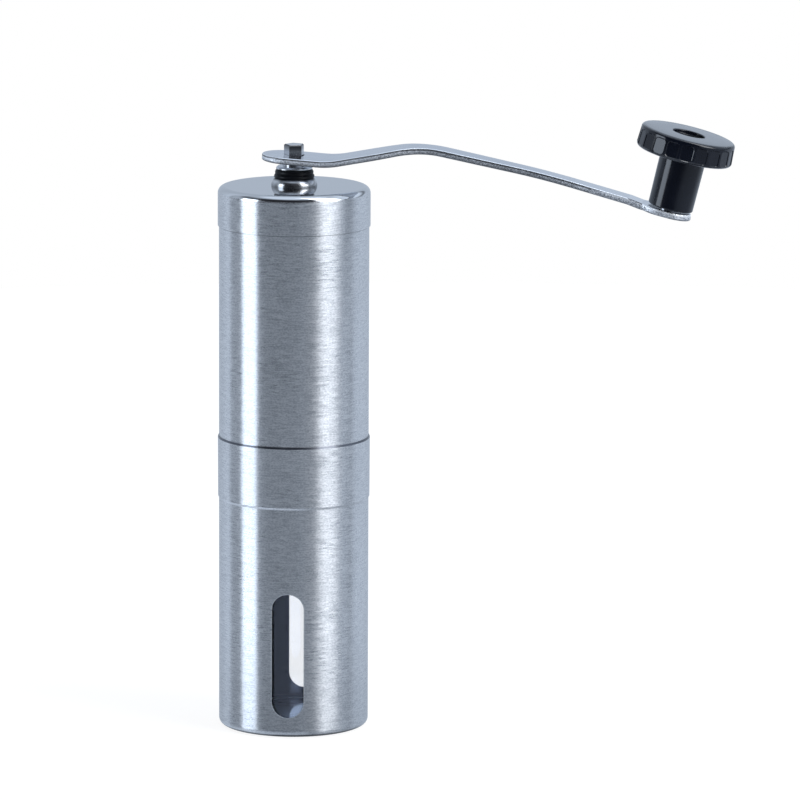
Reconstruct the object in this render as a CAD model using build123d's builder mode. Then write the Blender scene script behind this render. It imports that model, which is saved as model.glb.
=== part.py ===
"""Hand crank coffee grinder: steel grounds cup, bean tube, lid, crank and ceramic burrs.

Millimetres. +Z is up, the origin is the middle of the cup's underside, the crank points along +X.
"""

import os
from math import atan, cos, pi, radians, sin, sqrt, tan

from build123d import *

os.makedirs("parts", exist_ok=True)

# Steel shells
tube_od = 48.0  # bean tube, and the cup below its socket
sheet = 0.33  # wall of the drawn shells
push_gap = 0.05  # radial clearance of the push fits between shells
cup_depth = 74.8  # underside to the shoulder that the tube stands on
cup_corner = 2.0  # outside radius around the cup's floor
socket_depth = 19.6  # shoulder to the cup's rim
flare_length = 0.7  # height of the step where the cup widens
socket_taper = 0.08  # how much slimmer the socket is at its foot
rim_bevel_height = 0.6
rim_bevel_width = 0.22
tube_length = 98.0
lid_height = 12.6
lid_corner = 2.2

# Slot windows of the cup
window_width = 10.2
window_height = 40.2
window_bottom = 6.5
front_window_angle = -83.7  # degrees from +X
rear_window_angle = 92.0

# Clear liner of the cup
liner_wall = 1.2
liner_gap = 0.1
liner_short = 1.0  # how far its rim stays below the shoulder
liner_corner = 3.0
liner_foot = 2.3  # height of the ring that the liner stands on

# Shaft
shaft_d = 7.0
thread_d = 6.0
flat_width = 4.6  # across the two driving flats
flat_rise = 3.0  # how far the flats run up above the inner burr
stub_radius = 3.35  # corner radius of the five-sided end
stub_height = 5.8
run_gap = 0.05  # radial clearance of the running fits

# Bush in the lid
bush_base_d = 14.7
bush_neck_d = 12.8
bush_foot = 0.35  # upright edge below the bulge
bush_bulge = 3.2  # radius of the bulge's outline
bush_cone_height = 2.45
ring_height = 2.9  # rubber ring with two lips
ring_section = 2.3
ring_step = 0.3  # how much slimmer its upper lip is
ring_valley = 0.45
bush_wall = 0.6  # metal left between bore and ring groove
bush_top_d = 11.6
bush_top_height = 1.1
bush_edge = 0.25
bush_lip = 1.0
arm_lift = 1.15  # bush to the shoulder that the crank sits on

# Crank arm, in its own flat before it leans
arm_sheet = 2.1
arm_edge = 0.45  # rounding of the sheet's edges
arm_lean = 3.51  # degrees that the crank hangs down on its loose seat
hub_radius = 9.1
hub_back = 1.3  # how far behind the shaft the hub's round end is centred
shoulder_reach = 25.0  # how far out the hub keeps its width
rise_start = 12.2
rise_bend = 27.0
crest_reach = 40.55
crest_height = 7.3
crest_bend = 42.0
dip_reach = 81.2
dip_height = 1.9
dip_bend = 300.0
end_fall = 0.199  # slope of the last run
eye_reach = 121.5
eye_plate = 12.9  # eye back to the step where its plate is set down
step_length = 4.0
step_fall = 1.16
step_bend = 5.0
eye_fall = 0.1775  # slope of the eye's plate
eye_radius = 6.6
eye_length = 3.0  # how much longer than round the eye is
eye_flare = 1.5  # hollow corner between bar and eye
waist_reach = 46.0
waist_width = 9.0
neck_reach = 80.0
neck_width = 7.5
end_width = 8.0
seat_gap = 0.22  # clearance of the five-sided hole

# Knob
pin_d = 5.0
pin_head_d = 9.4
pin_head_height = 1.8
pin_tail_d = 7.0
pin_tail_height = 0.45
knob_washer_d = 7.6
knob_washer_height = 0.5
stem_d = 14.3
stem_draft = 0.6  # degrees
stem_length = 16.95
disc_d = 31.0
disc_height = 7.35
disc_draft = 3.5  # degrees
disc_round = 1.1
disc_foot_round = 1.3
knob_hole_d = 10.3
knob_hole_depth = 3.2
knob_hole_round = 0.4
panel_count = 20
panel_width = 3.7
panel_depth = 0.35
panel_slope = 47.0  # degrees that the panels' walls open outwards
panel_corner = 0.9
panel_top_land = 1.7
panel_low_land = 1.0

# Burr set
outer_burr_d = 38.0
outer_burr_height = 17.0
grind_radius = 15.9  # ring bore at its underside
neck_radius = 13.2
neck_height = 8.0
mouth_radius = 14.6
grind_gap = 0.45
cone_height = 21.0
cone_tip_radius = 6.6
outer_groove_count = 32
inner_groove_count = 30
groove_depth = 0.9
groove_width = 1.7
groove_slant = 14.0  # degrees
flute_count = 5
flute_radius = 2.6
flute_slant = 28.0
breaker_count = 6
breaker_radius = 2.0

# Plastic holder and its bearing
tab_height = 1.2
tab_reach = 1.0
tab_span = 24.0  # degrees
tab_count = 3
tab_play = 4.0  # degrees
ledge_height = 1.6
funnel_height = 9.5
holder_wall = 1.3
spoke_width = 4.0
spoke_height = 6.0
hub_d = 13.6
hub_height = 8.4
bush_od = 10.0
bush_flange_height = 1.0
thrust_height = 0.6
clip_height = 0.8
clip_d = 11.6
clip_groove_depth = 0.7

# Spring and grind adjuster
spring_length = 8.0
spring_wire = 0.9
spring_radius = 4.75
spring_turns = 4.5
spring_washer_height = 0.6
plate_d = 18.0
plate_height = 1.0
dimple_radius = 1.1
dimple_height = 0.4
click_gap = 0.1
click_count = 18
star_d = 23.0
star_height = 9.0
star_lobes = 6
nut_hex = 10.0
nut_height = 7.0
shaft_tail = 2.0  # shaft showing below the star knob

# Levels and radii that follow from these
tube_r = tube_od / 2
tube_in = tube_r - sheet
socket_in = tube_r + push_gap
socket_out = socket_in + sheet
z_shoulder = cup_depth
z_rim = z_shoulder + socket_depth
z_tube_top = z_shoulder + tube_length
z_lid = z_tube_top + lid_corner
z_lid_in = z_lid - sheet
shaft_r = shaft_d / 2
bush_bore = shaft_r + run_gap
ring_seat = bush_bore + bush_wall
z_cone = z_lid + bush_cone_height
z_ring = z_cone + ring_height
z_bush = z_ring + bush_top_height
z_seat = z_bush + arm_lift
lean = radians(arm_lean)
z_arm = z_seat + shaft_r * tan(lean) + 0.02
z_arm_top = z_arm + arm_sheet / cos(lean)
step_reach = eye_reach - eye_plate
step_height = dip_height - end_fall * (step_reach - dip_reach)
plate_reach = step_reach + step_length
plate_level = step_height - step_fall
eye_height = plate_level - eye_fall * (eye_reach - plate_reach)
eye_x = eye_reach * cos(lean) + eye_height * sin(lean)
eye_z = z_arm_top - eye_reach * sin(lean) + eye_height * cos(lean)
knob_lean = atan(eye_fall) + lean
holder_r = tube_in - push_gap
z_ring_burr = z_shoulder + tab_height
z_ledge = z_ring_burr + outer_burr_height
z_funnel = z_ledge + ledge_height
z_cone_tip = z_ring_burr + cone_height
z_hub = z_cone_tip + spring_length + spring_washer_height
z_hub_top = z_hub + hub_height
z_flange = z_hub_top + bush_flange_height
z_clip = z_flange + thrust_height
z_spoke_top = z_hub_top - 1.0
plate_recess = plate_height + 0.2
z_plate = z_ring_burr + plate_recess - plate_height
z_star = z_plate - dimple_height - click_gap
z_star_low = z_star - star_height
z_shaft_low = z_star_low - shaft_tail
z_flats = z_cone_tip + flat_rise
thread_r = thread_d / 2
pocket_r = outer_burr_d / 2 + 0.05
liner_r = tube_in - liner_gap
z_liner_top = z_shoulder - liner_short
crank_side = Plane((0, 0, z_arm_top), x_dir=(cos(lean), 0, -sin(lean)), z_dir=(0, -1, 0))
crank_flat = Plane((0, 0, z_arm), x_dir=(cos(lean), 0, -sin(lean)), z_dir=(sin(lean), 0, cos(lean)))
knob_up = Vector(sin(knob_lean), 0, cos(knob_lean))
knob_out = Vector(cos(knob_lean), 0, -sin(knob_lean))
knob_foot = Vector(eye_x, 0, eye_z)
knob_axis = Axis(tuple(knob_foot), tuple(knob_up))
knob_side = Plane(knob_foot, x_dir=knob_out, z_dir=(0, -1, 0))


def ray_plane(angle, height):
    """Upright plane through the axis at a height, facing outwards at an angle from +X."""
    out = radians(angle)
    return Plane((0, 0, height), x_dir=(-sin(out), cos(out), 0), z_dir=(cos(out), sin(out), 0))


def sectors(count, first, span, reach):
    """Triangles from the axis outwards, one for each of a ring's evenly spaced tabs or notches."""
    half = radians(span / 2)
    points = []
    for step in range(count):
        turn = radians(first + 360 * step / count)
        points.append(
            (
                (0, 0),
                (reach * cos(turn - half), reach * sin(turn - half)),
                (reach * cos(turn + half), reach * sin(turn + half)),
            )
        )
    return points


def slant_plane(angle, radius, height, fall, slant):
    """Plane across a groove that starts at a radius and height and climbs a cone, leaning sideways."""
    out = Vector(cos(angle), sin(angle), 0)
    side = Vector(-sin(angle), cos(angle), 0)
    climb = (Vector(0, 0, 1) + out * fall).normalized()
    run = climb * cos(slant) + side * sin(slant)
    across = side * cos(slant) - climb * sin(slant)
    return Plane(out * radius + Vector(0, 0, height), x_dir=across, z_dir=run)


# Cup
with BuildPart() as cup_shell:
    with BuildSketch(Plane.XZ):
        with BuildLine():
            Line((0, 0), (tube_r - cup_corner, 0))
            RadiusArc((tube_r - cup_corner, 0), (tube_r, cup_corner), -cup_corner)
            Polyline(
                (tube_r, cup_corner),
                (tube_r, z_shoulder - flare_length),
                (socket_out - socket_taper, z_shoulder),
                (socket_out, z_rim - rim_bevel_height),
                (socket_out - rim_bevel_width, z_rim),
                (socket_in, z_rim),
                (socket_in, z_shoulder),
                (tube_in, z_shoulder),
                (tube_in, cup_corner),
            )
            RadiusArc((tube_in, cup_corner), (tube_r - cup_corner, sheet), cup_corner - sheet)
            Polyline((tube_r - cup_corner, sheet), (0, sheet), (0, 0))
        make_face()
    revolve(axis=Axis.Z)
    window_middle = window_bottom + window_height / 2
    for angle in (front_window_angle, rear_window_angle):
        with BuildSketch(ray_plane(angle, window_middle)):
            SlotOverall(window_height, window_width, rotation=90)
        extrude(amount=tube_od, mode=Mode.SUBTRACT)

liner_in = liner_r - liner_wall
liner_hollow = liner_corner - liner_wall
foot_out = liner_r - liner_corner
foot_in = foot_out - liner_wall
z_liner_under = sheet + liner_foot
z_liner_floor = z_liner_under + liner_wall
with BuildPart() as cup_liner:
    with BuildSketch(Plane.XZ):
        with BuildLine():
            Polyline((0, z_liner_under), (foot_in, z_liner_under), (foot_in, sheet), (foot_out, sheet))
            RadiusArc((foot_out, sheet), (liner_r, sheet + liner_corner), -liner_corner)
            Polyline(
                (liner_r, sheet + liner_corner),
                (liner_r, z_liner_top),
                (liner_in, z_liner_top),
                (liner_in, z_liner_floor + liner_hollow),
            )
            RadiusArc(
                (liner_in, z_liner_floor + liner_hollow),
                (liner_in - liner_hollow, z_liner_floor),
                liner_hollow,
            )
            Polyline((liner_in - liner_hollow, z_liner_floor), (0, z_liner_floor), (0, z_liner_under))
        make_face()
    revolve(axis=Axis.Z)

# Bean tube
with BuildPart() as upper_tube:
    with BuildSketch(Plane.XY.offset(z_shoulder)):
        Circle(tube_r)
        Circle(tube_in, mode=Mode.SUBTRACT)
    extrude(amount=tube_length)

# Lid with its bush and rubber ring
lid_hole = ring_seat + 0.9
with BuildPart() as lid:
    with BuildSketch(Plane.XZ):
        with BuildLine():
            Polyline(
                (lid_hole, z_lid),
                (lid_hole, z_lid_in),
                (socket_out - lid_corner, z_lid_in),
            )
            RadiusArc(
                (socket_out - lid_corner, z_lid_in),
                (socket_in, z_lid - lid_corner),
                lid_corner - sheet,
            )
            Polyline(
                (socket_in, z_lid - lid_corner),
                (socket_in, z_lid - lid_height),
                (socket_out, z_lid - lid_height),
                (socket_out, z_lid - lid_corner),
            )
            RadiusArc(
                (socket_out, z_lid - lid_corner),
                (socket_out - lid_corner, z_lid),
                -lid_corner,
            )
            Line((socket_out - lid_corner, z_lid), (lid_hole, z_lid))
        make_face()
    revolve(axis=Axis.Z)

bush_base_r = bush_base_d / 2
bush_neck_r = bush_neck_d / 2
bush_top_r = bush_top_d / 2
with BuildPart() as lid_bush:
    with BuildSketch(Plane.XZ):
        with BuildLine():
            Polyline(
                (bush_bore, z_lid_in - bush_lip),
                (lid_hole + bush_lip - bush_edge, z_lid_in - bush_lip),
                (lid_hole + bush_lip, z_lid_in - bush_lip + bush_edge),
                (lid_hole + bush_lip, z_lid_in),
                (lid_hole - 0.02, z_lid_in),
                (lid_hole - 0.02, z_lid),
                (bush_base_r, z_lid),
                (bush_base_r, z_lid + bush_foot),
            )
            RadiusArc((bush_base_r, z_lid + bush_foot), (bush_neck_r, z_cone), -bush_bulge)
            Polyline(
                (bush_neck_r, z_cone),
                (ring_seat, z_cone),
                (ring_seat, z_ring),
                (bush_top_r - bush_edge, z_ring),
                (bush_top_r, z_ring + bush_edge),
                (bush_top_r, z_bush - bush_edge * 2),
                (bush_top_r - bush_edge * 2, z_bush),
                (bush_bore + bush_edge, z_bush),
                (bush_bore, z_bush - bush_edge),
                (bush_bore, z_lid_in - bush_lip),
            )
        make_face()
    revolve(axis=Axis.Z)

ring_in = ring_seat + 0.02
ring_out = ring_seat + ring_section
ring_low = z_cone + 0.02
ring_top = z_ring - 0.02
ring_middle = (ring_low + ring_top) / 2
lip_half = (ring_top - ring_low) / 4
valley_r = ring_out - ring_valley
with BuildPart() as lid_o_ring:
    with BuildSketch(Plane.XZ):
        with BuildLine():
            Line((ring_in, ring_low), (valley_r, ring_low))
            ThreePointArc((valley_r, ring_low), (ring_out, ring_low + lip_half), (valley_r, ring_middle))
            ThreePointArc(
                (valley_r, ring_middle),
                (ring_out - ring_step, ring_top - lip_half),
                (valley_r - ring_step, ring_top),
            )
            Polyline((valley_r - ring_step, ring_top), (ring_in, ring_top), (ring_in, ring_low))
        make_face()
    revolve(axis=Axis.Z)

# Shaft
with BuildPart() as drive_shaft:
    with BuildSketch(Plane.XY.offset(z_shaft_low)):
        Circle(thread_r)
        Rectangle(thread_d, flat_width, mode=Mode.INTERSECT)
    extrude(amount=z_flats - z_shaft_low)
    chamfer(edges().group_by(Axis.Z)[0], length=0.5)
    with BuildSketch(Plane.XY.offset(z_flats)):
        Circle(shaft_r)
    extrude(amount=z_seat - z_flats)
    with BuildSketch(Plane.XY.offset(z_seat)):
        RegularPolygon(stub_radius, 5, rotation=36)
    extrude(amount=stub_height)
    chamfer(faces().sort_by(Axis.Z)[-1].edges(), length=0.35)
    with BuildSketch(Plane.XY.offset(z_clip - 0.02)):
        Circle(shaft_d)
        Circle(shaft_r - clip_groove_depth, mode=Mode.SUBTRACT)
    extrude(amount=clip_height + 0.04, mode=Mode.SUBTRACT)

# Crank
half_end = end_width / 2
flare_run = sqrt((eye_radius + eye_flare) ** 2 - (half_end + eye_flare) ** 2)
eye_start = eye_reach - eye_length
flare_reach = eye_start - flare_run
eye_share = eye_radius / (eye_radius + eye_flare)
flare_end = (eye_start - flare_run * eye_share, (half_end + eye_flare) * eye_share)
with BuildPart() as crank_arm:
    run_end = eye_reach + eye_radius + 2
    with BuildSketch(crank_side):
        with BuildLine():
            FilletPolyline(
                (-hub_back - hub_radius - 2, 0),
                (rise_start, 0),
                (crest_reach, crest_height),
                (dip_reach, dip_height),
                (step_reach, step_height),
                (plate_reach, plate_level),
                (run_end, plate_level - eye_fall * (run_end - plate_reach)),
                radius=[rise_bend, crest_bend, dip_bend, step_bend, step_bend],
            )
            offset(amount=arm_sheet, side=Side.RIGHT)
        make_face()
    extrude(amount=hub_radius + 2, both=True)
    with BuildSketch(crank_flat):
        with BuildLine():
            RadiusArc((-hub_back - hub_radius, 0), (-hub_back, hub_radius), hub_radius)
            Line((-hub_back, hub_radius), (shoulder_reach, hub_radius))
            Spline(
                (shoulder_reach, hub_radius),
                (waist_reach, waist_width / 2),
                (neck_reach, neck_width / 2),
                (flare_reach, half_end),
                tangents=[(1, 0)] * 4,
            )
            RadiusArc((flare_reach, half_end), flare_end, -eye_flare)
            RadiusArc(flare_end, (eye_start, eye_radius), eye_radius)
            Line((eye_start, eye_radius), (eye_reach, eye_radius))
            RadiusArc((eye_reach, eye_radius), (eye_reach + eye_radius, 0), eye_radius)
            mirror(about=Plane.XZ)
        make_face()
    extrude(amount=eye_reach, both=True, mode=Mode.INTERSECT)
    fillet(crank_arm.edges().filter_by(GeomType.LINE, reverse=True), radius=arm_edge)
    with BuildSketch(crank_flat):
        RegularPolygon(stub_radius + seat_gap / cos(pi / 5), 5, rotation=36)
    extrude(amount=20, both=True, mode=Mode.SUBTRACT)
    with BuildSketch(Plane(knob_foot, x_dir=knob_out, z_dir=knob_up)):
        Circle(pin_d / 2 + 0.02)
    extrude(amount=10, both=True, mode=Mode.SUBTRACT)

# Knob, its pin and washer, drawn along the leaning pin
z_stem = knob_washer_height + 0.1
z_disc = z_stem + stem_length
z_knob = z_disc + disc_height
z_hole = z_knob - knob_hole_depth
disc_r = disc_d / 2
disc_top_r = disc_r - disc_height * tan(radians(disc_draft))
stem_r = stem_d / 2
stem_top_r = stem_r + stem_length * tan(radians(stem_draft))
hole_r = knob_hole_d / 2
pin_r = pin_d / 2
with BuildPart() as knob_washer:
    with BuildSketch(Plane(knob_foot, x_dir=knob_out, z_dir=knob_up)):
        Circle(knob_washer_d / 2)
        Circle(pin_r + 0.05, mode=Mode.SUBTRACT)
    extrude(amount=knob_washer_height)

with BuildPart() as knob_pin:
    z_head = z_hole + 0.1
    with BuildSketch(knob_side):
        with BuildLine():
            FilletPolyline(
                (0, -arm_sheet - pin_tail_height),
                (pin_tail_d / 2, -arm_sheet - pin_tail_height),
                (pin_tail_d / 2, -arm_sheet),
                (pin_r, -arm_sheet),
                (pin_r, z_head),
                (pin_head_d / 2, z_head),
                (pin_head_d / 2, z_head + pin_head_height),
                (0, z_head + pin_head_height),
                radius=[0, pin_tail_height * 0.8, 0, 0, 0, 0, pin_head_height * 0.7, 0],
                close=True,
            )
        make_face()
    revolve(axis=knob_axis)

with BuildPart() as knob:
    with BuildSketch(knob_side):
        with BuildLine():
            FilletPolyline(
                (pin_r + run_gap, z_stem),
                (stem_r, z_stem),
                (stem_top_r, z_disc),
                (disc_r, z_disc),
                (disc_top_r, z_knob),
                (hole_r, z_knob),
                (hole_r, z_hole),
                (pin_r + run_gap, z_hole),
                radius=[0, 0.4, 0.5, disc_foot_round, disc_round, knob_hole_round, 0, 0],
                close=True,
            )
        make_face()
    revolve(axis=knob_axis)
    draft = radians(disc_draft)
    panel_planes = []
    for step in range(panel_count):
        turn = 2 * pi * (step + 0.5) / panel_count
        spread = knob_out * cos(turn) + Vector(0, 1, 0) * sin(turn)
        sideways = Vector(0, 1, 0) * cos(turn) - knob_out * sin(turn)
        facing = spread * cos(draft) + knob_up * sin(draft)
        base = knob_foot + knob_up * z_disc + spread * (disc_r - panel_depth)
        panel_planes.append(Plane(base, x_dir=sideways, z_dir=facing))
    panel_height = disc_height - panel_top_land - panel_low_land
    with BuildSketch(*panel_planes):
        with Locations((0, panel_low_land + panel_height / 2)):
            RectangleRounded(panel_width, panel_height, panel_corner)
    extrude(amount=panel_depth * 2, taper=-panel_slope, mode=Mode.SUBTRACT)

# Ceramic burrs
band_fall = (neck_radius - grind_radius) / neck_height
mouth_fall = (mouth_radius - neck_radius) / (outer_burr_height - neck_height)
z_neck = z_ring_burr + neck_height
with BuildPart() as outer_burr:
    with BuildSketch(Plane.XZ):
        Polygon(
            (grind_radius, z_ring_burr),
            (outer_burr_d / 2, z_ring_burr),
            (outer_burr_d / 2, z_ledge),
            (mouth_radius, z_ledge),
            (neck_radius, z_neck),
            align=None,
        )
    revolve(axis=Axis.Z)
    groove_planes = []
    for step in range(outer_groove_count):
        turn = 2 * pi * step / outer_groove_count
        start = grind_radius - band_fall
        groove_planes.append(
            slant_plane(turn, start, z_ring_burr - 1, band_fall, -radians(groove_slant))
        )
    with BuildSketch(*groove_planes):
        Polygon((0, -groove_depth), (groove_width / 2, 0.8), (-groove_width / 2, 0.8), align=None)
    extrude(amount=neck_height + 1.6, mode=Mode.SUBTRACT)
    breaker_planes = []
    for step in range(breaker_count):
        turn = 2 * pi * (step + 0.25) / breaker_count
        breaker_planes.append(slant_plane(turn, neck_radius, z_neck, mouth_fall, radians(groove_slant)))
    with BuildSketch(*breaker_planes):
        Circle(breaker_radius)
    extrude(amount=outer_burr_height, mode=Mode.SUBTRACT)
    with BuildSketch(Plane.XY.offset(z_ring_burr)):
        for corners in sectors(tab_count, 180 / tab_count, tab_span + tab_play, outer_burr_d):
            Polygon(*corners, align=None)
        Circle(pocket_r - tab_reach - 0.1, mode=Mode.SUBTRACT)
    extrude(amount=outer_burr_height, mode=Mode.SUBTRACT)

with BuildPart() as inner_burr:
    with BuildSketch(Plane.XZ):
        Polygon(
            (0, z_ring_burr),
            (grind_radius - grind_gap, z_ring_burr),
            (neck_radius - grind_gap, z_neck),
            (cone_tip_radius, z_cone_tip),
            (0, z_cone_tip),
            align=None,
        )
    revolve(axis=Axis.Z)
    groove_planes = []
    for step in range(inner_groove_count):
        turn = 2 * pi * step / inner_groove_count
        start = grind_radius - grind_gap - band_fall
        groove_planes.append(
            slant_plane(turn, start, z_ring_burr - 1, band_fall, radians(groove_slant))
        )
    with BuildSketch(*groove_planes):
        Polygon((0, groove_depth), (-groove_width / 2, -0.8), (groove_width / 2, -0.8), align=None)
    extrude(amount=neck_height + 1.6, mode=Mode.SUBTRACT)
    tip_fall = (cone_tip_radius - neck_radius + grind_gap) / (cone_height - neck_height)
    flute_planes = []
    for step in range(flute_count):
        turn = 2 * pi * step / flute_count
        start = neck_radius - grind_gap + 1.0
        flute_planes.append(slant_plane(turn, start, z_neck, tip_fall, radians(flute_slant)))
    with BuildSketch(*flute_planes):
        Circle(flute_radius)
    extrude(amount=cone_height, mode=Mode.SUBTRACT)
    with BuildSketch(Plane.XY.offset(z_ring_burr)):
        Circle(plate_d / 2 + 0.05)
    extrude(amount=plate_recess, mode=Mode.SUBTRACT)
    with BuildSketch(Plane.XY.offset(z_ring_burr)):
        Circle(thread_r + 0.1)
        Rectangle(thread_d + 1, flat_width + 0.2, mode=Mode.INTERSECT)
    extrude(amount=cone_height, mode=Mode.SUBTRACT)

# Plastic holder with funnel, tabs and three-armed spider
with BuildPart() as burr_holder:
    funnel_top = holder_r - holder_wall
    throat = mouth_radius + 0.8
    with BuildSketch(Plane.XZ):
        Polygon(
            (pocket_r, z_shoulder),
            (holder_r, z_shoulder),
            (holder_r, z_spoke_top),
            (funnel_top, z_spoke_top),
            (funnel_top, z_funnel + funnel_height),
            (throat, z_funnel),
            (throat, z_ledge),
            (pocket_r, z_ledge),
            align=None,
        )
    revolve(axis=Axis.Z)
    with BuildSketch(Plane.XY.offset(z_shoulder)):
        for corners in sectors(tab_count, 0, tab_span, tube_od):
            Polygon(*corners, align=None)
        Circle(pocket_r + 0.5, mode=Mode.INTERSECT)
        Circle(pocket_r - tab_reach, mode=Mode.SUBTRACT)
    extrude(amount=tab_height)
    with BuildSketch(Plane.XY.offset(z_hub)):
        Circle(hub_d / 2)
    extrude(amount=hub_height)
    spoke_planes = [ray_plane(30 + 120 * step, z_spoke_top - spoke_height / 2) for step in range(3)]
    with BuildSketch(*spoke_planes):
        Rectangle(spoke_width, spoke_height)
    extrude(amount=holder_r - 0.5)
    with BuildSketch(Plane.XY.offset(z_hub)):
        Circle(bush_od / 2 + 0.02)
    extrude(amount=hub_height, mode=Mode.SUBTRACT)

with BuildPart() as shaft_bush:
    with BuildSketch(Plane.XZ):
        Polygon(
            (shaft_r + run_gap, z_hub),
            (bush_od / 2, z_hub),
            (bush_od / 2, z_hub_top),
            (hub_d / 2, z_hub_top),
            (hub_d / 2, z_flange),
            (shaft_r + run_gap, z_flange),
            align=None,
        )
    revolve(axis=Axis.Z)

with BuildPart() as thrust_washer:
    with BuildSketch(Plane.XY.offset(z_flange)):
        Circle(clip_d / 2 + 0.3)
        Circle(shaft_r + run_gap, mode=Mode.SUBTRACT)
    extrude(amount=thrust_height)

with BuildPart() as shaft_circlip:
    with BuildSketch(Plane.XY.offset(z_clip)):
        Circle(clip_d / 2)
        Circle(shaft_r - clip_groove_depth + 0.05, mode=Mode.SUBTRACT)
        with Locations((clip_d / 2, 0)):
            Rectangle(clip_d, shaft_d - 2 * clip_groove_depth - 0.8, mode=Mode.SUBTRACT)
        for angle in (60, 180, 300):
            with PolarLocations(clip_d / 2, 1, start_angle=angle):
                Circle(clip_d * 0.13, mode=Mode.SUBTRACT)
    extrude(amount=clip_height)

# Spring between hub and burr, a helix drawn as pairs of arcs
spring_low = z_cone_tip + spring_wire / 2 + 0.05
spring_rise = (spring_length - spring_wire - 0.1) / spring_turns
with BuildPart() as spring_washer:
    with BuildSketch(Plane.XY.offset(z_hub - spring_washer_height)):
        Circle(hub_d / 2)
        Circle(shaft_r + run_gap, mode=Mode.SUBTRACT)
    extrude(amount=spring_washer_height)


def coil_point(turns):
    """Point on the spring's centre line after a number of turns."""
    turn = 2 * pi * turns
    return Vector(spring_radius * cos(turn), spring_radius * sin(turn), spring_low + spring_rise * turns)


def coil_run(turns):
    """Direction of the spring's centre line after a number of turns."""
    turn = 2 * pi * turns
    around = 2 * pi * spring_radius
    return Vector(-around * sin(turn), around * cos(turn), spring_rise).normalized()


with BuildPart() as burr_spring:
    with BuildLine() as coil:
        quarters = round(spring_turns * 4)
        for step in range(quarters):
            begin = coil_point(step / 4)
            end = coil_point((step + 1) / 4)
            run_in = coil_run(step / 4)
            run_out = coil_run((step + 1) / 4)
            chord = end - begin
            both = run_in + run_out
            bend = 2 * (1 - run_in.dot(run_out))
            reach = (sqrt(chord.dot(both) ** 2 + bend * chord.dot(chord)) - chord.dot(both)) / bend
            middle = (begin + end + (run_in - run_out) * reach) * 0.5
            first = TangentArc(begin, middle, tangent=run_in)
            TangentArc(middle, end, tangent=first % 1)
    with BuildSketch(Plane(coil_point(0), z_dir=coil_run(0))):
        Circle(spring_wire / 2)
    sweep(path=coil.wire())

samples = [coil.wire() @ (step / 720) for step in range(721)]
apart = round(720 / spring_turns / 2)
least = min((p - q).length for i, p in enumerate(samples) for q in samples[i + apart :])
print("spring: least gap between turns", round(least - spring_wire, 2), "mm")

# Grind adjuster
with BuildPart() as click_plate:
    with BuildSketch(Plane.XY.offset(z_plate)):
        Circle(plate_d / 2)
    extrude(amount=plate_height)
    dimple_ball = (dimple_radius**2 + dimple_height**2) / (2 * dimple_height)
    dimple_reach = (nut_hex / sqrt(3) + star_d / 2 - 2.4) / 2
    for side in (-1, 1):
        with BuildSketch(Plane((0, side * dimple_reach, z_plate), x_dir=(1, 0, 0), z_dir=(0, -1, 0))):
            with BuildLine():
                Line((0, 0.3), (dimple_radius, 0.3))
                Line((dimple_radius, 0.3), (dimple_radius, 0))
                RadiusArc((dimple_radius, 0), (0, -dimple_height), dimple_ball)
                Line((0, -dimple_height), (0, 0.3))
            make_face()
        revolve(axis=Axis((0, side * dimple_reach, 0), (0, 0, 1)))
    with BuildSketch(Plane.XY.offset(z_plate)):
        Circle(thread_r + 0.1)
        Rectangle(thread_d + 1, flat_width + 0.2, mode=Mode.INTERSECT)
    extrude(amount=plate_height, mode=Mode.SUBTRACT)

with BuildPart() as adjust_knob:
    with BuildSketch(Plane.XY.offset(z_star_low)):
        Circle(star_d / 2)
        with PolarLocations(star_d * 0.6, star_lobes, start_angle=180 / star_lobes):
            Circle(star_d * 0.17, mode=Mode.SUBTRACT)
    extrude(amount=star_height)
    fillet(adjust_knob.faces().sort_by(Axis.Z)[0].outer_wire().edges(), radius=0.8)
    notch_planes = []
    for step in range(click_count):
        turn = 360 * step / click_count
        notch_planes.append(ray_plane(turn + 90, z_star))
    with BuildSketch(*notch_planes):
        Polygon((-0.7, 0.2), (0, -0.45), (0.7, 0.2), align=None)
    extrude(amount=star_d, mode=Mode.SUBTRACT)
    with BuildSketch(Plane.XY.offset(z_star)):
        RegularPolygon(nut_hex / 2 + 0.02, 6, major_radius=False)
    extrude(amount=-nut_height, mode=Mode.SUBTRACT)
    with BuildSketch(Plane.XY.offset(z_star_low)):
        Circle(thread_r + 0.6)
    extrude(amount=star_height, mode=Mode.SUBTRACT)

with BuildPart() as adjust_nut:
    with BuildSketch(Plane.XY.offset(z_star - nut_height)):
        RegularPolygon(nut_hex / 2, 6, major_radius=False)
        Circle(thread_r + run_gap, mode=Mode.SUBTRACT)
    extrude(amount=nut_height - 0.5)

made = {
    "cup_shell": cup_shell,
    "cup_liner": cup_liner,
    "upper_tube": upper_tube,
    "lid": lid,
    "lid_bush": lid_bush,
    "lid_o_ring": lid_o_ring,
    "drive_shaft": drive_shaft,
    "crank_arm": crank_arm,
    "knob_washer": knob_washer,
    "knob_pin": knob_pin,
    "knob": knob,
    "outer_burr": outer_burr,
    "inner_burr": inner_burr,
    "burr_holder": burr_holder,
    "shaft_bush": shaft_bush,
    "thrust_washer": thrust_washer,
    "shaft_circlip": shaft_circlip,
    "spring_washer": spring_washer,
    "burr_spring": burr_spring,
    "click_plate": click_plate,
    "adjust_knob": adjust_knob,
    "adjust_nut": adjust_nut,
}
for name, build in made.items():
    build.part.label = name
    export_step(build.part, f"parts/{name}.step")
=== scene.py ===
"""Looks of the hand crank coffee grinder: materials, the shaft's thread, the burr's spring,
the studio around it and the camera. Lengths are in metres.
"""

from math import atan2, cos, pi, radians, sin, sqrt

import bmesh
import bpy
from mathutils import Matrix


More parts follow.
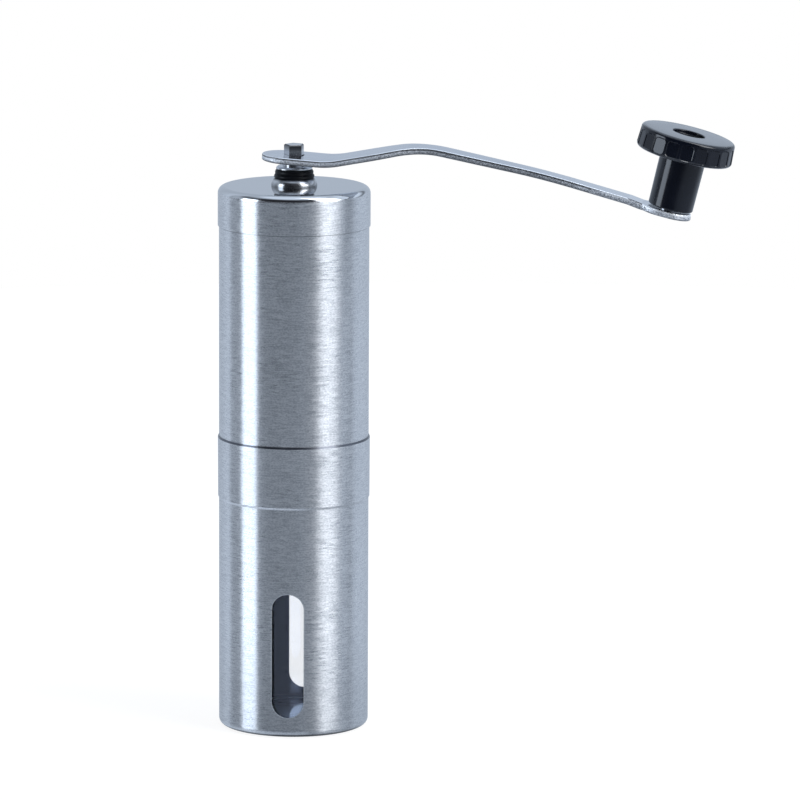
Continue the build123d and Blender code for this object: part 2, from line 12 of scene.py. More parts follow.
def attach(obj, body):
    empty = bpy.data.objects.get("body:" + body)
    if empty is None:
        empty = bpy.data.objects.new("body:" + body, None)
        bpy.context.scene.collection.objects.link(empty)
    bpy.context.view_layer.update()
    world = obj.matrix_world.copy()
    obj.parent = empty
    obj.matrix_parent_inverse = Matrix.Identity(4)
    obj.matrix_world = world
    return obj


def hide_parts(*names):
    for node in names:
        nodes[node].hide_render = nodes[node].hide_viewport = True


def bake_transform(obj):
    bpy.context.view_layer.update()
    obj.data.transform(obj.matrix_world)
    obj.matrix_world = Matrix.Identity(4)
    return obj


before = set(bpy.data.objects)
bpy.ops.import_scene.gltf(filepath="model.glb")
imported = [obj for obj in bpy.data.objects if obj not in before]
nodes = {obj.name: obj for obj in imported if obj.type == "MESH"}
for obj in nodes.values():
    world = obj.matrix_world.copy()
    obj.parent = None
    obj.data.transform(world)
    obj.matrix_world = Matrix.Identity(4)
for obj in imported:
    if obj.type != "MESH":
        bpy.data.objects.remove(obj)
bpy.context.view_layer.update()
scene = bpy.context.scene

# Camera, at the photograph's viewing angle
camera_turn = radians(10.0)  # the crank points this much towards the camera
camera_pitch = radians(79.888)
camera_roll = radians(0.24)
camera_spot = (0.42376, -2.20744, 0.50654)
camera = bpy.data.objects.new("camera", bpy.data.cameras.new("camera"))
camera_place = Matrix.Translation(camera_spot)
camera_aim = Matrix.Rotation(camera_turn, 4, "Z") @ Matrix.Rotation(camera_pitch, 4, "X")
camera.matrix_world = camera_place @ camera_aim @ Matrix.Rotation(camera_roll, 4, "Z")
camera.data.sensor_width = 36.0
camera.data.lens = 320.5
camera.data.clip_start = 0.05
camera.data.clip_end = 50.0
scene.collection.objects.link(camera)
scene.camera = camera
scene.view_settings.view_transform = "Standard"

white = (1.0, 1.0, 1.0, 1.0)
noise_low, noise_high = 0.3, 0.7  # most of a noise lies between these values


class Graph:
    """Node tree with a short way to add nodes and link their sockets."""

    def __init__(self, tree):
        self.tree = tree

    def add(self, kind, inputs=None, **settings):
        made = self.tree.nodes.new("ShaderNode" + kind)
        for name, value in settings.items():
            setattr(made, name, value)
        for name, value in (inputs or {}).items():
            self.join(made.inputs[name], value)
        return made

    def join(self, socket, value):
        """Links a socket to another one, or sets its constant value."""
        if isinstance(value, bpy.types.NodeSocket):
            self.tree.links.new(value, socket)
        else:
            socket.default_value = value

    def math(self, operation, *values):
        return self.add("Math", dict(enumerate(values)), operation=operation).outputs[0]

    def plus(self, first, second):
        return self.math("ADD", first, second)

    def minus(self, first, second):
        return self.math("SUBTRACT", first, second)

    def times(self, product, *factors):
        for factor in factors:
            product = self.math("MULTIPLY", product, factor)
        return product

    def dot(self, first, second):
        inputs = {0: first, 1: second}
        return self.add("VectorMath", inputs, operation="DOT_PRODUCT").outputs["Value"]

    def scaled(self, colour, factor):
        inputs = {0: colour, "Scale": factor}
        return self.add("VectorMath", inputs, operation="SCALE").outputs["Vector"]

    def parts(self, vector):
        return self.add("SeparateXYZ", {0: vector}).outputs

    def span(self, value, low, high, out_low=0.0, out_high=1.0, smooth=True):
        """Carries a value from one range to another, and holds it at that range's ends."""
        inputs = {
            "Value": value,
            "From Min": low,
            "From Max": high,
            "To Min": out_low,
            "To Max": out_high,
        }
        kind = "SMOOTHSTEP" if smooth else "LINEAR"
        return self.add("MapRange", inputs, interpolation_type=kind).outputs["Result"]

    def between(self, value, low, high, soft):
        """One between two limits and zero outside them, with soft edges."""
        rise = self.span(value, low - soft, low + soft)
        return self.times(rise, self.span(value, high + soft, high - soft))

    def mix(self, share, first, second):
        made = self.add("Mix", data_type="RGBA")
        for place, value in ((0, share), (6, first), (7, second)):
            self.join(made.inputs[place], value)
        return made.outputs[2]

    def ramp(self, value, stops):
        made = self.add("ValToRGB", {"Fac": value})
        elements = made.color_ramp.elements
        while len(elements) < len(stops):
            elements.new(0.5)
        for element, (place, colour) in zip(elements, stops):
            element.position = place
            element.color = (*colour, 1.0)
        return made.outputs["Color"]

    def greys(self, value, stops):
        return self.ramp(value, [(place, (share,) * 3) for place, share in stops])

    def noise(self, vector, scale=1.0, detail=2.0, rough=0.5):
        inputs = {"Vector": vector, "Scale": scale, "Detail": detail, "Roughness": rough}
        return self.add("TexNoise", inputs).outputs["Fac"]

    def tones(self, noise, dark, light):
        """Colour between two tones, by a noise."""
        return self.ramp(noise, [(noise_low, dark), (noise_high, light)])

    def spread(self, noise, low, high):
        """Value between two limits, by a noise."""
        return self.span(noise, noise_low, noise_high, low, high)


def material(slot):
    """New material with its graph and main shader."""
    made = bpy.data.materials.new(slot)
    made.use_nodes = True
    return made, Graph(made.node_tree), made.node_tree.nodes["Principled BSDF"]


def set_shader(graph, shader, **values):
    """Sets the main shader's sockets, whose names are written with underscores."""
    for name, value in values.items():
        graph.join(shader.inputs[name.replace("_", " ")], value)


def place(graph):
    """Object coordinates and the surface's own normal."""
    coordinates = graph.add("TexCoord").outputs
    return coordinates["Object"], coordinates["Normal"]


def around_axis(graph, spot):
    """A spot's parts and its distance from the upright axis."""
    x, y, z = graph.parts(spot)
    return x, y, z, graph.math("SQRT", graph.plus(graph.times(x, x), graph.times(y, y)))


def streaks(graph, x, y, along, around_scale, along_scale, detail):
    """Noise in streaks that run around the upright axis."""
    inputs = {
        "X": graph.times(x, around_scale),
        "Y": graph.times(y, around_scale),
        "Z": graph.times(along, along_scale),
    }
    return graph.noise(graph.add("CombineXYZ", inputs).outputs[0], detail=detail)


def bumped(graph, height, strength, depth, under=None):
    inputs = {"Height": height, "Strength": strength, "Distance": depth}
    if under:
        inputs["Normal"] = under
    return graph.add("Bump", inputs).outputs["Normal"]


def crown(graph, spot, normal):
    """Bump that lets the knob's top fall away a little towards its rim."""
    lean = radians(13.575)
    foot = (0.120887, 0.0, 0.171220)
    axis = (sin(lean), 0.0, cos(lean))
    rim = 0.0155
    fall = 0.0007
    steepness = 2.5
    top_facing = (0.80, 0.98)
    arm = graph.add("VectorMath", {0: spot, 1: foot}, operation="SUBTRACT").outputs["Vector"]
    along = graph.dot(arm, axis)
    length = graph.add("VectorMath", {0: arm}, operation="LENGTH").outputs["Value"]
    squares = graph.minus(graph.times(length, length), graph.times(along, along))
    share = graph.math("DIVIDE", squares, rim * rim)
    on_top = graph.span(graph.dot(normal, axis), *top_facing, 0.0, -1.0)
    height = graph.times(graph.math("POWER", share, steepness), on_top)
    return bumped(graph, height, strength=1.0, depth=fall)


def slot_gap(graph, x, y, z, angle):
    """Distance outwards from the edge of the cup's slot window at an angle around the axis."""
    half_width = 0.0051
    middle = 0.0266
    straight = 0.0150
    across = graph.minus(graph.times(y, cos(angle)), graph.times(x, sin(angle)))
    beyond = graph.minus(graph.math("ABSOLUTE", graph.minus(z, middle)), straight)
    beyond = graph.math("MAXIMUM", beyond, 0.0)
    squares = graph.plus(graph.times(across, across), graph.times(beyond, beyond))
    ahead = graph.plus(graph.times(x, cos(angle)), graph.times(y, sin(angle)))
    gap = graph.minus(graph.math("SQRT", squares), half_width)
    return graph.plus(gap, graph.math("LESS_THAN", ahead, 0.0))


def brushed_steel():
    """Drawn steel: brushed around, polished over the lid's top, rougher inside; painted shade
    inside, at the cup's rim, under the lid and towards the foot, and a painted highlight round the
    slots.
    """
    hair_share, streak_share = 0.6, 0.4
    least, most = 0.40, 0.60  # limits of the brushing lines
    plain = (0.69, 0.70, 0.715)
    brushing = [(least, (0.555, 0.565, 0.585)), (0.5, plain), (most, (0.825, 0.83, 0.84))]
    inside_from = (-0.012, -0.018)  # distances outwards along the normal
    lid_height, lid_level = (0.150, 0.160), (0.05, 0.40)
    # Painted shade: a dark line on the bevel of the cup's rim, for the shadowed gap at the tube
    rim_low, rim_high, rim_level = (0.09375, 0.09385), (0.0946, 0.0945), (0.15, 0.30)
    rim_shade_colour = (0.16, 0.168, 0.19, 1.0)
    # Painted shadow: a darker line on the tube just under the lid's lower edge
    seam_low, seam_high, seam_shade = (0.1620, 0.1622), (0.16242, 0.16238), 0.6
    slot_angles = (radians(-83.7), radians(92.0))
    # Painted highlight: the steel lighter along the edges of the slot windows
    slot_edge, slot_edge_highlight = (0.00012, 0.00034), 1.4
    # Painted shade: the cup darker towards its bottom
    cup_fade, cup_shade = (0.002, 0.036), 0.86
    # Painted shade: the foot's rounded edge near black where it turns down to the table
    foot_level, foot_height, foot_shade = (-0.40, -0.75), (0.005, 0.004), 0.16
    polish_drop, least_rough, inside_rough = 0.25, 0.04, 0.12
    made, graph, shader = material("brushed_steel")
    spot, normal = place(graph)
    x, y, z, reach = around_axis(graph, spot)
    level = graph.parts(normal)["Z"]
    along = graph.plus(z, reach)
    hair = streaks(graph, x, y, along, around_scale=1600.0, along_scale=3200.0, detail=3.0)
    streak = streaks(graph, x, y, along, around_scale=260.0, along_scale=2600.0, detail=2.0)
    cloud = graph.noise(spot, scale=70.0, detail=3.0)
    lines = graph.plus(graph.times(hair, hair_share), graph.times(streak, streak_share))
    lines = graph.math("MINIMUM", graph.math("MAXIMUM", lines, least), most)
    outward = graph.minus(graph.dot(normal, spot), graph.times(level, z))
    inside = graph.span(outward, *inside_from)
    polish = graph.times(graph.span(level, *lid_level), graph.span(z, *lid_height))
    # Painted shade on the rim's bevel
    rim = graph.times(graph.span(z, *rim_low), graph.span(z, *rim_high))
    rim = graph.times(rim, graph.span(level, *rim_level))
    # Painted shadow under the lid's edge
    seam_shadow = graph.times(graph.span(z, *seam_low), graph.span(z, *seam_high))
    foot = graph.times(graph.span(level, *foot_level), graph.span(z, *foot_height))
    slot = graph.math("MINIMUM", *(slot_gap(graph, x, y, z, angle) for angle in slot_angles))
    bright = graph.mix(polish, graph.ramp(lines, brushing), (*plain, 1.0))
    # Painted light over the steel's colour: a highlight by the slots, and shade towards the bottom,
    # at the foot and under the lid
    painted_light = (
        graph.span(slot, *slot_edge, slot_edge_highlight, 1.0),
        graph.span(z, *cup_fade, cup_shade, 1.0),
        graph.span(foot, 0.0, 1.0, 1.0, foot_shade),
        graph.span(seam_shadow, 0.0, 1.0, 1.0, seam_shade),
    )
    for painted_light_factor in painted_light:
        bright = graph.scaled(bright, painted_light_factor)
    # Painted shade: the inside painted near black and blue, for the shade within the cup
    inside_painted_shade = graph.tones(cloud, (0.024, 0.031, 0.054), (0.036, 0.045, 0.074))
    rough = graph.plus(graph.spread(streak, 0.26, 0.34), graph.spread(cloud, 0.0, 0.03))
    rough = graph.minus(rough, graph.times(polish, polish_drop))
    rough = graph.math("MAXIMUM", rough, least_rough)
    set_shader(
        graph,
        shader,
        Base_Color=graph.mix(rim, graph.mix(inside, bright, inside_painted_shade), rim_shade_colour),
        Metallic=1.0,
        Roughness=graph.plus(rough, graph.times(inside, inside_rough)),
        Anisotropic=graph.span(polish, 0.0, 1.0, 0.95, 0.0),
        Anisotropic_Rotation=0.25,
        Tangent=graph.add("Tangent", direction_type="RADIAL", axis="Z").outputs[0],
        Normal=bumped(graph, lines, strength=0.006, depth=0.00002),
    )
    return made


def top_line(node):
    """Spots along the arm's upper face, as pairs of x and height."""
    upward = 0.86
    wanted = 28
    heights = {}
    for face in node.data.polygons:
        if face.normal.z > upward:
            for index in face.vertices:
                spot = node.data.vertices[index].co
                heights.setdefault(round(spot.x, 4), []).append(spot.z)
    spots = [(x, max(values)) for x, values in sorted(heights.items())]
    chosen = [spots[0]]
    step = (spots[-1][0] - spots[0][0]) / wanted
    for spot in spots[1:]:
        if spot[0] - chosen[-1][0] >= step:
            chosen.append(spot)
    chosen[-1] = spots[-1]
    return chosen


def arm_steel():
    """Stamped bar: satin faces brushed along the arm, and sides with the torn grain of the cut,
    with painted highlights and shade on its sides and edges.
    """
    side_facing = (0.58, 0.46)
    edge_low, edge_high = (0.50, 0.60), (0.985, 0.955)
    face_grain, side_grain, side_rough = 0.04, 0.9, 0.36
    bar_depth = 0.0025
    eye_start = (0.094, 0.104)
    satin_dark, satin_light = (0.67, 0.70, 0.755), (0.79, 0.815, 0.865)
    # Painted shade on the lower edge's rounding and a painted highlight on the upper edge's
    lower_edge_shade, upper_edge_highlight = (0.10, 0.11, 0.13, 1.0), (0.97, 0.98, 1.0, 1.0)
    torn = [(0.36, (0.20, 0.205, 0.22)), (0.5, (0.42, 0.43, 0.45)), (0.66, (0.72, 0.73, 0.75))]
    # Painted light and shade on the sides, by share of the bar's depth and by share of its length:
    # along the bar a dark line under the top edge, a light band below it and darker towards the
    # bottom; near the eye lighter under the top edge; lighter at the hub and eye ends
    bar_light_bands = [
        (0.08, 0.30),
        (0.22, 0.26),
        (0.32, 1.15),
        (0.44, 1.0),
        (0.60, 0.62),
        (0.72, 0.34),
        (0.86, 0.12),
    ]
    eye_light_bands = [(0.06, 1.9), (0.26, 1.5), (0.36, 0.75), (0.50, 0.85), (0.72, 0.50), (0.86, 0.25)]
    end_light_bands = [(0.0, 1.8), (0.25, 1.7), (0.40, 1.05), (0.66, 1.0), (0.78, 1.5), (0.92, 2.0)]
    made, graph, shader = material("arm_steel")
    spot, normal = place(graph)
    x, y, z = graph.parts(spot)
    level = graph.parts(normal)["Z"]
    facing = graph.math("ABSOLUTE", level)
    side = graph.span(facing, *side_facing)
    edge = graph.times(graph.span(facing, *edge_low), graph.span(facing, *edge_high))
    line = top_line(nodes["crank_arm"])
    start, end = line[0][0], line[-1][0]
    least = min(height for _, height in line)
    rise = max(height for _, height in line) - least
    length_share = graph.span(x, start, end, smooth=False)
    stops = [((at - start) / (end - start), (height - least) / rise) for at, height in line]
    top = graph.plus(graph.times(graph.greys(length_share, stops), rise), least)
    depth_share = graph.span(graph.minus(top, z), 0.0, bar_depth, smooth=False)
    grain = graph.noise(spot, scale=2200.0, detail=4.0, rough=0.7)
    along = {"X": graph.times(x, 70.0), "Y": graph.times(y, 1900.0), "Z": z}
    satin = graph.noise(graph.add("CombineXYZ", along).outputs[0], detail=3.0)
    cloud = graph.noise(spot, scale=90.0, detail=3.0)
    # Painted light and shade on the sides
    bar_painted_light, eye_painted_light = (graph.greys(depth_share, bands) for bands in (bar_light_bands, eye_light_bands))
    painted_light_factor = graph.mix(graph.span(x, *eye_start), bar_painted_light, eye_painted_light)
    side_colour = graph.scaled(graph.ramp(grain, torn), painted_light_factor)
    side_colour = graph.scaled(side_colour, graph.greys(length_share, end_light_bands))
    # Painted highlight on the upper edge, painted shade on the lower edge
    edge_highlight_and_shade = graph.mix(graph.span(level, -0.05, 0.05), lower_edge_shade, upper_edge_highlight)
    colour = graph.mix(side, graph.tones(satin, satin_dark, satin_light), side_colour)
    strength = graph.span(side, 0.0, 1.0, face_grain, side_grain)
    set_shader(
        graph,
        shader,
        Base_Color=graph.mix(edge, colour, edge_highlight_and_shade),
        Metallic=1.0,
        Roughness=graph.plus(graph.spread(cloud, 0.14, 0.20), graph.times(side, side_rough)),
        Normal=bumped(graph, graph.mix(side, satin, grain), strength, depth=0.00012),
    )
    return made


def turned_metal(slot, dark, light, rough, lines_per_metre, lines_depth, painted_light=None):
    """Metal with fine lathe lines around the upright axis, and painted shade by height near that
    axis.
    """
    painted_light_reach = (0.020, 0.018)
    made, graph, shader = material(slot)
    spot = place(graph)[0]
    x, y, z, reach = around_axis(graph, spot)
    along = graph.plus(z, reach)
    lines = streaks(graph, x, y, along, around_scale=120.0, along_scale=lines_per_metre, detail=2.0)
    cloud = graph.noise(spot, scale=160.0, detail=3.0)
    colour = graph.tones(lines, dark, light)
    # Painted shade by height, near the axis
    if painted_light:
        low, high = painted_light[0][0], painted_light[-1][0]
        stops = [((height - low) / (high - low), share) for height, share in painted_light]
        painted_light_factor = graph.greys(graph.span(z, low, high, smooth=False), stops)
        near = graph.span(reach, *painted_light_reach)
        colour = graph.mix(near, colour, graph.scaled(colour, painted_light_factor))
    set_shader(
        graph,
        shader,
        Base_Color=colour,
        Metallic=1.0,
        Roughness=graph.spread(cloud, rough * 0.8, rough * 1.3),
        Normal=bumped(graph, lines, strength=lines_depth, depth=0.00003),
    )
    return made


def moulded_plastic(
    slot, dark, light, rough, peel, peel_depth, gloss=0.0, shine=0.5, crowned=False
):
    """Plastic with a faint orange peel and rubbing marks, and a gloss on faces that look up."""
    gloss_level = (0.6, 0.9)
    rubbed_from = (0.60, 0.75)
    wear_gain, wear_lift, wear_rough = 1.6, 0.004, 0.06
    worn = tuple(min(1.0, part * wear_gain + wear_lift) for part in light)
    made, graph, shader = material(slot)
    spot, normal = place(graph)
    level = graph.parts(normal)["Z"]
    grain = graph.noise(spot, scale=peel, detail=2.0)
    cloud = graph.noise(spot, scale=140.0, detail=4.0, rough=0.6)
    rubbed = graph.noise(spot, scale=420.0, detail=5.0, rough=0.7)
    wear = graph.span(rubbed, *rubbed_from)
    colour = graph.ramp(cloud, [(0.35, dark), (0.7, light)])
    roughness = graph.spread(cloud, rough * 0.85, rough * 1.2)
    shape = crown(graph, spot, normal) if crowned else None
    set_shader(
        graph,
        shader,
        Base_Color=graph.mix(wear, colour, (*worn, 1.0)),
        Roughness=graph.plus(roughness, graph.times(wear, wear_rough)),
        IOR=1.5,
        Specular_IOR_Level=shine,
        Coat_Weight=graph.span(level, *gloss_level, 0.0, gloss),
        Coat_Roughness=0.06,
        Normal=bumped(graph, grain, strength=peel_depth, depth=0.00004, under=shape),
    )
    return made


def ceramic():
    """Sintered white ceramic with a fine grain and faint specks."""
    speck_size = (0.10, 0.04)
    speck_colour = (0.62, 0.60, 0.56, 1.0)
    made, graph, shader = material("white_ceramic")
    spot = place(graph)[0]
    grain = graph.noise(spot, scale=2600.0, detail=3.0)
    cloud = graph.noise(spot, scale=120.0, detail=4.0)
    cells = graph.add("TexVoronoi", {"Vector": spot, "Scale": 900.0}).outputs["Distance"]
    base = graph.tones(cloud, (0.80, 0.785, 0.745), (0.87, 0.86, 0.83))
    set_shader(
        graph,
        shader,
        Base_Color=graph.mix(graph.span(cells, *speck_size), base, speck_colour),
        Roughness=graph.spread(grain, 0.34, 0.52),
        IOR=1.6,
        Normal=bumped(graph, grain, strength=0.12, depth=0.00005),
    )
    return made


def clear_plastic():
    """Clear moulded cup with faint rubbing marks."""
    scuffed_from = (0.5, 0.8)
    made, graph, shader = material("clear_plastic")
    spot = place(graph)[0]
    cloud = graph.noise(spot, scale=110.0, detail=4.0)
    scuff = graph.noise(spot, scale=900.0, detail=4.0, rough=0.7)
    set_shader(
        graph,
        shader,
        Base_Color=graph.tones(cloud, (0.93, 0.945, 0.965), (0.965, 0.975, 0.985)),
        Roughness=graph.span(scuff, *scuffed_from, 0.02, 0.10),
        IOR=1.49,
        Transmission_Weight=1.0,
        Normal=bumped(graph, cloud, strength=0.02, depth=0.0002),
    )
    return made


# Painted shade by height on the lid's bush and on the shaft's end. On the bush: darker at its foot,
# a dark line for the crease between its tiers, and darker under its ring
bush_painted_shade = [
    (0.1748, 0.30),
    (0.1756, 0.45),
    (0.1766, 0.80),
    (0.1770, 0.80),
    (0.1773, 0.30),
    (0.1777, 0.30),
    (0.1780, 1.0),
    (0.1791, 1.0),
    (0.1798, 0.62),
    (0.1805, 0.60),
    (0.1810, 1.0),
]
# On the shaft's end: painted shade, darker upwards and near black on its top chamfer to dim that
# chamfer's reflection
stub_painted_shade = [
    (0.1862, 1.0),
    (0.1867, 0.75),
    (0.1872, 0.40),
    (0.1879, 0.30),
    (0.18808, 0.12),
    (0.18836, 0.12),
    (0.18839, 1.0),
]
finishes = {
    "brushed_steel": brushed_steel(),
    "arm_steel": arm_steel(),
    "chrome_trim": turned_metal(
        "chrome_trim",
        dark=(0.68, 0.69, 0.71),
        light=(0.80, 0.81, 0.825),
        rough=0.20,
        lines_per_metre=3000.0,
        lines_depth=0.02,
        painted_light=bush_painted_shade,
    ),
    "plain_steel": turned_metal(
        "plain_steel",
        dark=(0.50, 0.51, 0.53),
        light=(0.64, 0.645, 0.66),
        rough=0.08,
        lines_per_metre=2400.0,
        lines_depth=0.05,
        painted_light=stub_painted_shade,
    ),
    "spring_steel": turned_metal(
        "spring_steel",
        dark=(0.30, 0.31, 0.34),
        light=(0.46, 0.465, 0.49),
        rough=0.22,
        lines_per_metre=1800.0,
        lines_depth=0.10,
    ),
    "brass": turned_metal(
        "brass",
        dark=(0.66, 0.48, 0.20),
        light=(0.80, 0.62, 0.30),
        rough=0.20,
        lines_per_metre=2400.0,
        lines_depth=0.10,
    ),
    "black_rubber": moulded_plastic(
        "black_rubber",
        dark=(0.0040, 0.0045, 0.0060),
        light=(0.0070, 0.0075, 0.0095),
        rough=0.36,
        peel=2600.0,
        peel_depth=0.12,
        shine=0.15,
    ),
    "knob_black": moulded_plastic(
        "knob_black",
        dark=(0.0022, 0.0034, 0.0080),
        light=(0.0036, 0.0052, 0.0110),
        rough=0.13,
        peel=1300.0,
        peel_depth=0.03,
        gloss=1.0,
        crowned=True,
    ),
    "holder_black": moulded_plastic(
        "holder_black",
        dark=(0.012, 0.012, 0.013),
        light=(0.022, 0.022, 0.024),
        rough=0.46,
        peel=3200.0,
        peel_depth=0.30,
    ),
    "nylon": moulded_plastic(
        "nylon",
        dark=(0.70, 0.68, 0.62),
        light=(0.80, 0.78, 0.72),
        rough=0.42,
        peel=1800.0,
        peel_depth=0.12,
    ),
    "white_ceramic": ceramic(),
    "clear_plastic": clear_plastic(),
}
worn_by = {
    "brushed_steel": ("cup_shell", "upper_tube", "lid"),
    "arm_steel": ("crank_arm",),
    "chrome_trim": ("lid_bush",),
    "plain_steel": (
        "drive_shaft",
        "knob_washer",
        "knob_pin",
        "thrust_washer",
        "spring_washer",
        "click_plate",
    ),
    "spring_steel": ("shaft_circlip", "burr_spring"),
    "brass": ("adjust_nut",),
    "black_rubber": ("lid_o_ring",),
    "knob_black": ("knob",),
    "holder_black": ("burr_holder", "adjust_knob"),
    "nylon": ("shaft_bush",),
    "white_ceramic": ("outer_burr", "inner_burr"),
    "clear_plastic": ("cup_liner",),
}
for slot, names in worn_by.items():
    for name in names:
        nodes[name].data.materials.clear()
        nodes[name].data.materials.append(finishes[slot])


thread_pitch = 0.0010


def thread_ridge(mesh, start, base):
    """One ridge across a rounded side of the shaft's tail, run out at both ends."""
    crest = 0.00304
    root = 0.00290
    flat = 0.00225
    steps = 14
    run_out, end_share = 6.0, 0.25
    widest = atan2(flat, sqrt(crest * crest - flat * flat))
    rows = []
    for step in range(steps + 1):
        share = step / steps
        angle = start - widest + 2 * widest * share
        rise = base + thread_pitch * (angle - start) / (2 * pi)
        fade = min(1.0, run_out * min(share, 1.0 - share) + end_share)
        tip = root + (crest - root) * fade
        corners = ((root, 0.05), (tip, 0.40), (tip, 0.58), (root, 0.93))
        rows.append(
            [
                mesh.verts.new((r * cos(angle), r * sin(angle), rise + thread_pitch * up))
                for r, up in corners
            ]
        )
    for first, second in zip(rows, rows[1:]):
        for corner in range(4):
            after = (corner + 1) % 4
            mesh.faces.new((first[corner], second[corner], second[after], first[after]))
    mesh.faces.new(rows[0])
    mesh.faces.new(list(reversed(rows[-1])))


def shaft_thread():
    """Thread on the two rounded sides of the shaft's flattened tail."""
    low = 0.06535
    high = 0.06690
    mesh = bmesh.new()
    for start in (0.0, pi):
        turn = 0
        while True:
            base = low + thread_pitch * (turn + start / (2 * pi))
            turn += 1
            if base + thread_pitch > high:
                break
            thread_ridge(mesh, start, base)
    bmesh.ops.recalc_face_normals(mesh, faces=mesh.faces)
    data = bpy.data.meshes.new("shaft_thread")
    mesh.to_mesh(data)
    mesh.free()
    piece = bpy.data.objects.new("shaft_thread", data)
    scene.collection.objects.link(piece)
    data.materials.append(finishes["plain_steel"])
    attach(piece, "shaft")


def burr_coil():
    """The burr's spring again, as a copy baked in place, with the first spring hidden."""
    coil = bpy.data.objects.new("burr_coil", nodes["burr_spring"].data.copy())
    scene.collection.objects.link(coil)
    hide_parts("burr_spring")
    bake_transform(coil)


shaft_thread()
burr_coil()

# Floor: a pale round table top, white to the camera apart from the object's shadow
floor_radius = 0.9
floor_spot = (0.05, 0.0, -0.0002)
floor_glow = 0.90
floor_dark, floor_light = (0.155,) * 3, (0.165,) * 3
floor_mesh = bmesh.new()
bmesh.ops.create_circle(floor_mesh, cap_ends=True, radius=floor_radius, segments=96)
floor_data = bpy.data.meshes.new("floor")
floor_mesh.to_mesh(floor_data)
floor_mesh.free()
floor = bpy.data.objects.new("floor", floor_data)
floor.location = floor_spot
scene.collection.objects.link(floor)
floor_paint = bpy.data.materials.new("floor_paint")
floor_paint.use_nodes = True
graph = Graph(floor_paint.node_tree)
floor_paint.node_tree.nodes.clear()
fleck = graph.noise(place(graph)[0], scale=40.0, detail=3.0)
matt = graph.add("BsdfDiffuse", {"Color": graph.tones(fleck, floor_dark, floor_light)})
glow = graph.add("Emission", {"Color": white, "Strength": floor_glow})
solid = graph.add("AddShader", {0: matt.outputs[0], 1: glow.outputs[0]})
under = graph.add("NewGeometry").outputs["Backfacing"]
mirror_ray = graph.add("LightPath").outputs["Is Glossy Ray"]
clear = graph.math("MAXIMUM", under, mirror_ray)
open_air = graph.add("BsdfTransparent")
surface = graph.add("MixShader", {0: clear, 1: solid.outputs[0], 2: open_air.outputs[0]})
graph.add("OutputMaterial", {"Surface": surface.outputs[0]})
floor_data.materials.append(floor_paint)

# Studio: a cool room around the object, by bearing from the camera in degrees to the right of it
cool = (0.87, 1.0, 1.19)
room = [
    (-180, 0.54),
    (-150, 0.54),
    (-135, 0.60),
    (-117, 0.72),
    (-110, 0.25),
    (-95, 0.19),
    (-60, 0.15),
    (-48, 0.11),
    (-30, 0.05),
    (0, 0.05),
    (12, 0.11),
    (24, 0.19),
    (36, 0.33),
    (70, 0.49),
    (80, 0.48),
    (88, 0.43),
    (99, 0.33),
    (106, 0.71),
    (116, 0.76),
    (130, 0.71),
    (150, 0.58),
    (180, 0.55),
]
climb_start, climb_rate = radians(98), 0.44  # of a dark line that rises to the right
strip_level, box_level = 3.5, 5.3
strip_tint, box_tint = (0.88, 1.0, 1.16, 1.0), (0.97, 1.0, 1.04, 1.0)
front_glass, back_glass = (0.92, 1.10, 1.55, 1.0), (0.42, 0.53, 0.73, 1.0)
world = bpy.data.worlds.new("studio")
scene.world = world
world.use_nodes = True
graph = Graph(world.node_tree)
world.node_tree.nodes.clear()
aim = graph.add("TexCoord").outputs["Generated"]
right_of = graph.dot(aim, (cos(camera_turn), sin(camera_turn), 0.0))
front_of = graph.dot(aim, (sin(camera_turn), -cos(camera_turn), 0.0))
bearing = graph.math("ARCTAN2", right_of, front_of)
around = graph.span(bearing, -pi, pi, smooth=False)
up = graph.parts(aim)["Z"]
climb = graph.minus(up, graph.times(graph.minus(bearing, climb_start), climb_rate))


def tinted(level):
    return tuple(level * part for part in cool)


def flat_tint(level):
    return (*tinted(level), 1.0)


def sector(low, high, soft):
    """Share of a range of bearings in degrees."""
    return graph.between(bearing, radians(low), radians(high), radians(soft))


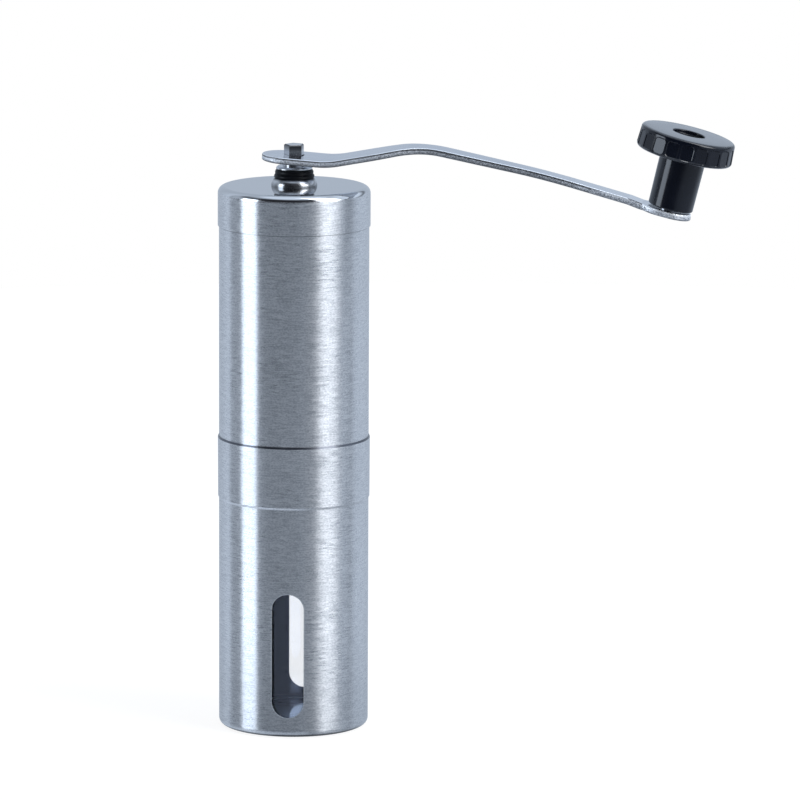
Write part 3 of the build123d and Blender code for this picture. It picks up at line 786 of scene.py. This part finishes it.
# What is painted over the room's wall, each patch over those before it
table = graph.mix(sector(25, 150, 12), flat_tint(0.80), flat_tint(0.42))
dark_side = graph.times(sector(-64, 44, 10), graph.span(up, 0.02, 0.20), 0.85)
pale_side = graph.times(
    sector(82, 152, 8), graph.span(climb, 0.08, 0.18), graph.span(up, 0.90, 0.80)
)
dark_line = graph.times(sector(100, 160, 5), graph.between(climb, -0.10, 0.05, 0.05))
left_patch = graph.times(sector(-112, -92, 4), graph.between(up, 0.02, 0.60, 0.06))
patches = [
    (dark_side, (0.02, 0.02, 0.025, 1.0)),
    (graph.span(up, 0.72, 0.86), flat_tint(0.55)),
    (pale_side, flat_tint(0.85)),
    (dark_line, flat_tint(0.25)),
    (left_patch, flat_tint(0.50)),
    (graph.span(up, 0.86, 0.93), flat_tint(0.90)),
    (graph.span(up, -0.28, -0.44), table),
    (graph.span(up, -0.92, -0.98), (0.10, 0.10, 0.11, 1.0)),
]
wall = graph.ramp(around, [((angle + 180) / 360, tinted(level)) for angle, level in room])
for share, colour in patches:
    wall = graph.mix(share, wall, colour)
studio = graph.add("Background", {"Color": wall})

# Lamps: a strip to the left of the camera and a box high up to the right of it
strip = graph.times(sector(-85.3, -58.2, 2.2), graph.between(up, -0.14, 0.42, 0.04))
box = graph.times(sector(43, 73.5, 9), graph.between(up, 0.20, 0.98, 0.06))
lamps = graph.plus(graph.times(strip, strip_level), graph.times(box, box_level))
lamp_tint = graph.mix(strip, box_tint, strip_tint)
lamp_light = graph.add("Background", {"Color": lamp_tint, "Strength": lamps})
lit = graph.add("AddShader", {0: studio.outputs[0], 1: lamp_light.outputs[0]})

# Backdrop: white to the camera, and cool light through the clear cup
light_path = graph.add("LightPath").outputs
away = graph.span(front_of, 0.1, -0.1)
behind = graph.mix(graph.span(up, -0.05, 0.05), white, back_glass)
through = graph.mix(away, front_glass, behind)
open_side = graph.mix(light_path["Is Camera Ray"], through, white)
blank = graph.add("Background", {"Color": open_side, "Strength": 1.0})
seen = graph.math("MAXIMUM", light_path["Is Camera Ray"], light_path["Is Transmission Ray"])
backdrop = graph.add("MixShader", {0: seen, 1: lit.outputs[0], 2: blank.outputs[0]})
graph.add("OutputWorld", {"Surface": backdrop.outputs[0]})
